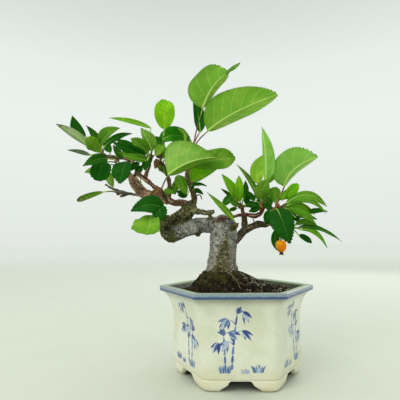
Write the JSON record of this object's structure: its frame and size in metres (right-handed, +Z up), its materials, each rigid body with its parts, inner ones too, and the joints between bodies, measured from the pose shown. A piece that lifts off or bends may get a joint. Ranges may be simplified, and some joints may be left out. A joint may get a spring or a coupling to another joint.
{
  "type": "crabapple bonsai",
  "caption": "Crabapple bonsai: bent trunk with serrated green leaves and orange fruit, growing in dark soil in a hexagonal footed pot of crackled cream glaze with a blue rim edge.",
  "frame": {"origin": "middle of the whole object's bounding box at the level the pot's feet stand on", "axes": "+Z up the tree; +Y away from the viewer, with the pot's flat front side facing -Y; +X to the viewer's right, so the tree leans to -X"},
  "size_m": [0.2116, 0.1002, 0.2386],
  "materials": {
    "pot": "gloss",
    "drain_screen": "matte",
    "soil": "matte",
    "trunk": "matte",
    "crown_shoot": "satin",
    "petal_shoot": "satin",
    "inner_shoot": "satin",
    "tall_leaf_shoot": "satin",
    "cluster_shoot": "satin",
    "left_tip_shoot": "satin",
    "hanging_shoot": "satin",
    "single_leaf": "satin",
    "elbow_shoot": "satin",
    "shoulder_leaf": "satin",
    "upright_shoot": "satin",
    "tall_right_shoot": "satin",
    "front_right_shoot": "satin",
    "fan_shoot": "satin",
    "low_right_shoot": "satin",
    "draping_shoot": "satin",
    "back_leaf_shoot": "satin",
    "fruit": "satin"
  },
  "bodies": {
    "root": {"pot": "pot", "drain_screen": "drain_screen", "soil": "soil", "trunk": "trunk", "crown_shoot": "crown_shoot", "petal_shoot": "petal_shoot", "inner_shoot": "inner_shoot", "tall_leaf_shoot": "tall_leaf_shoot", "cluster_shoot": "cluster_shoot", "left_tip_shoot": "left_tip_shoot", "hanging_shoot": "hanging_shoot", "single_leaf": "single_leaf", "elbow_shoot": "elbow_shoot", "shoulder_leaf": "shoulder_leaf", "upright_shoot": "upright_shoot", "tall_right_shoot": "tall_right_shoot", "front_right_shoot": "front_right_shoot", "fan_shoot": "fan_shoot", "low_right_shoot": "low_right_shoot", "draping_shoot": "draping_shoot", "back_leaf_shoot": "back_leaf_shoot", "fruit": "fruit"}
  },
  "joints": []
}
